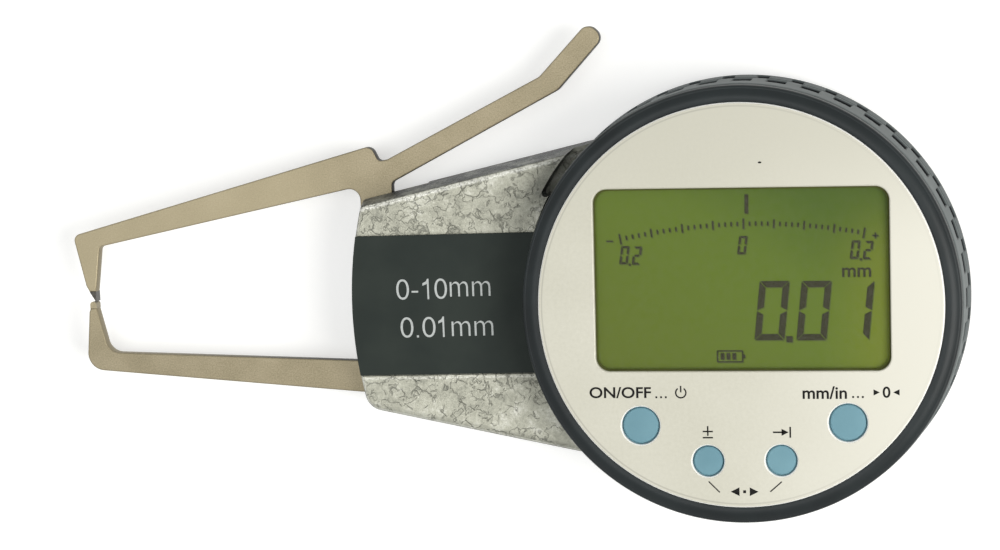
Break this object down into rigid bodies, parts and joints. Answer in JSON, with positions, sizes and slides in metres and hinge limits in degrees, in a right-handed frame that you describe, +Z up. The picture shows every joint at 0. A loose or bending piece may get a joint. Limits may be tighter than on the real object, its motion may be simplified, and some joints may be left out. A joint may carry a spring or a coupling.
{
  "type": "digital outside caliper gauge",
  "caption": "Pivoting-arm outside caliper gauge: two slim jaws, wedge-shaped body, swivelling round display head with keys, and a finger lever that opens the jaws.",
  "frame": {"origin": "on the rest plane, under the centre of the round display head", "axes": "+X from the jaws to the head, +Y to the finger lever's side, +Z up out of the display"},
  "size_m": [0.1287, 0.0693, 0.02],
  "materials": {
    "cast_metal": "silver-grey hammered paint",
    "dark_plastic": "satin dark grey moulding",
    "label": "printed film on a thin plate",
    "nickel": "satin nickel plate",
    "hard_metal": "ground carbide",
    "brass": "machined",
    "steel": "bright",
    "washer": "acetal",
    "board": "glass-epoxy board",
    "silver_face": "matt silver",
    "clear": "clear",
    "lcd": "reflective liquid crystal",
    "frame_plastic": "white moulding",
    "rubber": "silicone",
    "keys": "light blue"
  },
  "bodies": {
    "housing": {"front_casting": "cast_metal", "rear_shell": "cast_metal", "base_ring": "dark_plastic", "label_plate": "label", "fixed_arm": "nickel", "lower_anvil": "hard_metal", "rear_pivot_bush": "brass", "front_pivot_bush": "brass", "closing_spring": "steel", "opening_stop_pin": "steel", "arm_clamp_screws": "steel", "body_screws": "steel", "lower_shaft_bush": "brass", "upper_shaft_bush": "brass", "encoder_stator": "board", "stator_screws": "steel", "friction_washer": "washer", "retaining_clip": "steel", "swivel_stop_pin": "steel"},
    "measuring_arm": {"moving_arm": "nickel", "upper_anvil": "hard_metal", "gear_sector": "brass", "sector_rivets": "steel", "pivot_pin": "steel", "spring_pin": "steel"},
    "encoder": {"encoder_shaft": "steel", "pinion": "brass", "encoder_rotor": "board"},
    "display": {"display_housing": "dark_plastic", "bezel_ring": "dark_plastic", "face_plate": "silver_face", "lcd_window": "clear", "lcd_panel": "lcd", "lcd_frame": "frame_plastic", "contact_strips": "rubber", "main_board": "board", "board_screws": "steel", "keypad_mat": "rubber", "battery_contact": "steel", "data_socket": "dark_plastic", "data_port_plug": "dark_plastic"},
    "on_off_key": {"on_off_button": "keys"},
    "unit_key": {"unit_button": "keys"},
    "tolerance_key": {"tolerance_button": "keys"},
    "data_key": {"data_button": "keys"},
    "drawer": {"battery_drawer": "dark_plastic", "coin_cell": "steel"}
  },
  "joints": [
    {"name": "measuring_arm_pivot", "type": "hinge", "parent": "housing", "child": "measuring_arm", "pos_m": [-0.046, 0, 0.0056], "axis": [0, 0, -1], "range_deg": [0, 11.8], "stiffness_Nm_per_rad": 0.1, "springref_deg": -28.65, "deforming": ["closing_spring"]},
    {"name": "encoder_spin", "type": "hinge", "parent": "housing", "child": "encoder", "pos_m": [0, 0, 0.004], "axis": [0, 0, 1], "range_deg": [0, 160]},
    {"name": "display_swivel", "type": "hinge", "parent": "housing", "child": "display", "pos_m": [0, 0, 0.009], "axis": [0, 0, 1], "range_deg": [-130, 130]},
    {"name": "on_off_press", "type": "slide", "parent": "display", "child": "on_off_key", "axis": [0, 0, -1], "range_m": [0, 0.0004], "stiffness_N_per_m": 800, "springref_m": -0.0005},
    {"name": "unit_press", "type": "slide", "parent": "display", "child": "unit_key", "axis": [0, 0, -1], "range_m": [0, 0.0004], "stiffness_N_per_m": 800, "springref_m": -0.0005},
    {"name": "tolerance_press", "type": "slide", "parent": "display", "child": "tolerance_key", "axis": [0, 0, -1], "range_m": [0, 0.0004], "stiffness_N_per_m": 800, "springref_m": -0.0005},
    {"name": "data_press", "type": "slide", "parent": "display", "child": "data_key", "axis": [0, 0, -1], "range_m": [0, 0.0004], "stiffness_N_per_m": 800, "springref_m": -0.0005},
    {"name": "battery_drawer_slide", "type": "slide", "parent": "display", "child": "drawer", "axis": [-0.014, -0.9999, 0], "range_m": [0, 0.022]}
  ],
  "couplings": [
    {"joint": "encoder_spin", "follows": "measuring_arm_pivot", "ratio": 13.375}
  ]
}
